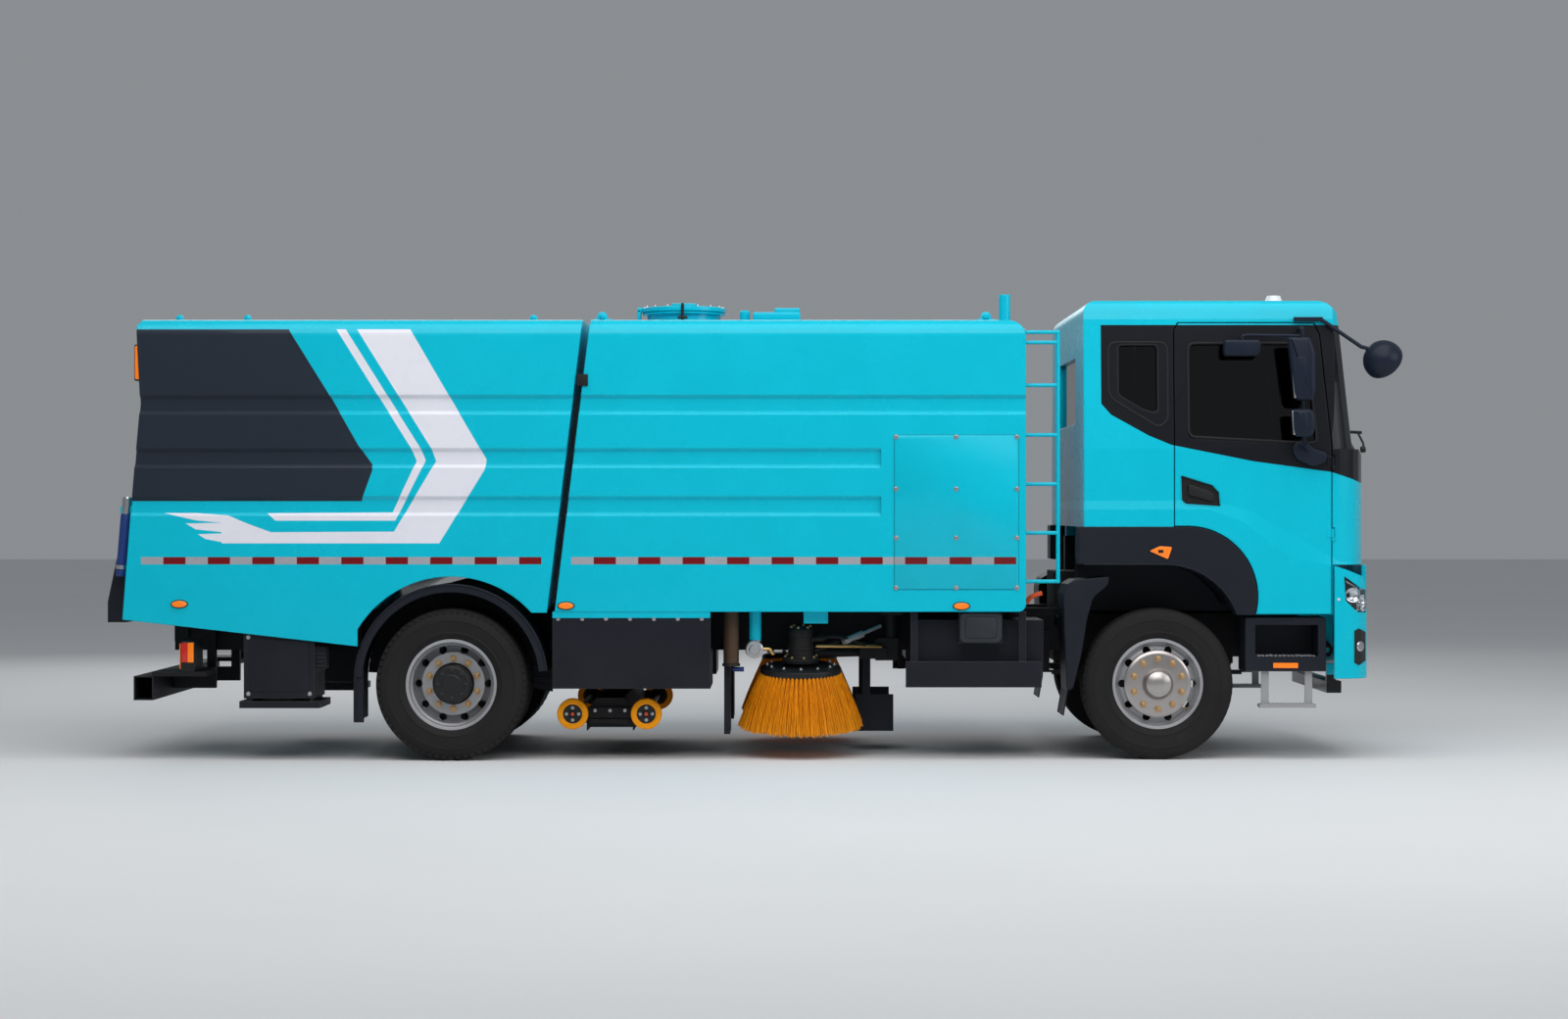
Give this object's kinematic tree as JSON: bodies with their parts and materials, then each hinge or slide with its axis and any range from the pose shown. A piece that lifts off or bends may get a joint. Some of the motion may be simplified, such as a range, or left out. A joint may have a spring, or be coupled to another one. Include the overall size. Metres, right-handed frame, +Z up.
{
  "type": "street sweeper truck",
  "caption": "Road sweeper on a two-axle truck chassis with a cyan cab, water tank, tipping debris tank, suction nozzle and side brushes.",
  "frame": {"origin": "on the ground under the middle of the overall length and width, with the wheels resting on z = 0", "axes": "+X towards the cab along the length, +Y to the driver's left, +Z up; the width is the shortest overall size"},
  "size_m": [8.6021, 2.88, 3.121],
  "materials": {
    "chassis_black": "semi-gloss",
    "tyre_rubber": "matte",
    "rim_steel": "satin",
    "cab_paint": "gloss",
    "bumper_paint": "gloss",
    "dark_glass": "gloss",
    "seat_cloth": "matte",
    "cabin_plastic": "matte",
    "trim_black": "matte",
    "mudguard_black": "matte",
    "lamp_clear": "gloss",
    "lamp_red": "gloss",
    "beacon_white": "gloss",
    "mirror_slate": "satin",
    "tank_paint": "gloss",
    "debris_paint": "gloss",
    "gate_paint": "gloss",
    "skirt_black": "semi-gloss",
    "guard_grey": "semi-gloss",
    "nozzle_steel": "satin",
    "roller_orange": "satin",
    "arm_steel": "satin",
    "bristle_orange": "matte",
    "underrun_black": "satin",
    "pipe_steel": "satin"
  },
  "bodies": {
    "chassis": {"chassis_frame": "chassis_black", "frame_bars": "chassis_black", "suction_pipe": "chassis_black", "front_axle": "chassis_black", "rear_axle": "chassis_black", "leaf_springs": "chassis_black", "drive_unit": "chassis_black", "mudguards": "mudguard_black", "water_tank": "tank_paint", "boarding_steps": "trim_black", "access_ladder": "tank_paint", "skirt_boxes": "skirt_black", "side_guards": "guard_grey", "rear_bumper": "underrun_black", "tail_lamps": "lamp_red", "pipes": "pipe_steel"},
    "knuckle_right": {"knuckle_right": "chassis_black"},
    "knuckle_left": {"knuckle_left": "chassis_black"},
    "front_wheel_right": {"front_tyre_right": "tyre_rubber", "front_rim_right": "rim_steel"},
    "front_wheel_left": {"front_tyre_left": "tyre_rubber", "front_rim_left": "rim_steel"},
    "rear_wheel_right": {"rear_tyres_right": "tyre_rubber", "rear_rims_right": "rim_steel"},
    "rear_wheel_left": {"rear_tyres_left": "tyre_rubber", "rear_rims_left": "rim_steel"},
    "cab": {"cab_shell": "cab_paint", "windshield": "dark_glass", "cab_side_glass": "dark_glass", "seats": "seat_cloth", "dashboard": "cabin_plastic", "steering_wheel": "cabin_plastic", "cab_trims": "trim_black", "front_bumper": "bumper_paint", "headlamps": "lamp_clear", "front_mirror": "mirror_slate", "roof_beacon": "beacon_white"},
    "door_right": {"door_right": "cab_paint", "door_glass_right": "dark_glass", "mirrors_right": "mirror_slate"},
    "door_left": {"door_left": "cab_paint", "door_glass_left": "dark_glass", "mirrors_left": "mirror_slate"},
    "debris_body": {"debris_tank": "debris_paint"},
    "gate": {"tailgate": "gate_paint", "tailgate_spout": "gate_paint"},
    "lid": {"hatch_lid": "tank_paint"},
    "nozzle": {"suction_nozzle": "nozzle_steel", "nozzle_neck": "nozzle_steel"},
    "rollers_front": {"nozzle_rollers_front": "roller_orange"},
    "rollers_rear": {"nozzle_rollers_rear": "roller_orange"},
    "arm_right": {"brush_arm_right": "arm_steel"},
    "arm_left": {"brush_arm_left": "arm_steel"},
    "head_right": {"brush_head_right": "arm_steel"},
    "head_left": {"brush_head_left": "arm_steel"},
    "brush_right": {"side_brush_right": "bristle_orange"},
    "brush_left": {"side_brush_left": "bristle_orange"}
  },
  "joints": [
    {"name": "steer_right", "type": "hinge", "parent": "chassis", "child": "knuckle_right", "pos_m": [2.695, -0.86, 0.445], "axis": [0, 0, 1], "range_deg": [-32, 32]},
    {"name": "steer_left", "type": "hinge", "parent": "chassis", "child": "knuckle_left", "pos_m": [2.695, 0.86, 0.445], "axis": [0, 0, 1], "range_deg": [-32, 32]},
    {"name": "front_spin_right", "type": "hinge", "parent": "knuckle_right", "child": "front_wheel_right", "pos_m": [2.695, -1, 0.505], "axis": [0, 1, 0], "continuous": true},
    {"name": "front_spin_left", "type": "hinge", "parent": "knuckle_left", "child": "front_wheel_left", "pos_m": [2.695, 1, 0.505], "axis": [0, 1, 0], "continuous": true},
    {"name": "rear_spin_right", "type": "hinge", "parent": "chassis", "child": "rear_wheel_right", "pos_m": [-2.005, -1.095, 0.505], "axis": [0, 1, 0], "continuous": true},
    {"name": "rear_spin_left", "type": "hinge", "parent": "chassis", "child": "rear_wheel_left", "pos_m": [-2.005, 1.095, 0.505], "axis": [0, 1, 0], "continuous": true},
    {"name": "cab_tilt", "type": "hinge", "parent": "chassis", "child": "cab", "pos_m": [3.945, 0, 0.7], "axis": [0, 1, 0], "range_deg": [0, 50]},
    {"name": "door_hinge_right", "type": "hinge", "parent": "cab", "child": "door_right", "pos_m": [3.847, -1.202, 1.7], "axis": [0, 0, 1], "range_deg": [0, 70]},
    {"name": "door_hinge_left", "type": "hinge", "parent": "cab", "child": "door_left", "pos_m": [3.847, 1.202, 1.7], "axis": [0, 0, -1], "range_deg": [0, 70]},
    {"name": "body_tip", "type": "hinge", "parent": "chassis", "child": "debris_body", "pos_m": [-3.935, 0, 0.96], "axis": [0, -1, 0], "range_deg": [0, 45]},
    {"name": "tailgate_hinge", "type": "hinge", "parent": "debris_body", "child": "gate", "pos_m": [-4.117, 0, 2.87], "axis": [0, 1, 0], "range_deg": [0, 80]},
    {"name": "hatch_hinge", "type": "hinge", "parent": "chassis", "child": "lid", "pos_m": [-0.813, 0, 2.97], "axis": [0, -1, 0], "range_deg": [0, 110]},
    {"name": "nozzle_lift", "type": "slide", "parent": "chassis", "child": "nozzle", "axis": [0, 0, 1], "range_m": [-0.19, 0]},
    {"name": "roller_spin_front", "type": "hinge", "parent": "nozzle", "child": "rollers_front", "pos_m": [-0.719, 0, 0.299], "axis": [0, 1, 0], "continuous": true},
    {"name": "roller_spin_rear", "type": "hinge", "parent": "nozzle", "child": "rollers_rear", "pos_m": [-1.212, 0, 0.299], "axis": [0, 1, 0], "continuous": true},
    {"name": "brush_swing_right", "type": "hinge", "parent": "chassis", "child": "arm_right", "pos_m": [0.936, -0.64, 0.8], "axis": [0, 0, 1], "range_deg": [0, 25]},
    {"name": "brush_swing_left", "type": "hinge", "parent": "chassis", "child": "arm_left", "pos_m": [0.936, 0.64, 0.8], "axis": [0, 0, -1], "range_deg": [0, 25]},
    {"name": "brush_lift_right", "type": "hinge", "parent": "arm_right", "child": "head_right", "pos_m": [0.866, -0.64, 0.69], "axis": [0, -1, 0], "range_deg": [0, 11]},
    {"name": "brush_lift_left", "type": "hinge", "parent": "arm_left", "child": "head_left", "pos_m": [0.866, 0.64, 0.69], "axis": [0, -1, 0], "range_deg": [0, 11]},
    {"name": "brush_spin_right", "type": "hinge", "parent": "head_right", "child": "brush_right", "pos_m": [0.316, -0.858, 0.59], "axis": [0, -0.1045, 0.9945], "continuous": true},
    {"name": "brush_spin_left", "type": "hinge", "parent": "head_left", "child": "brush_left", "pos_m": [0.316, 0.858, 0.59], "axis": [0, 0.1045, 0.9945], "continuous": true}
  ],
  "couplings": [
    {"joint": "steer_left", "follows": "steer_right", "ratio": 1}
  ]
}
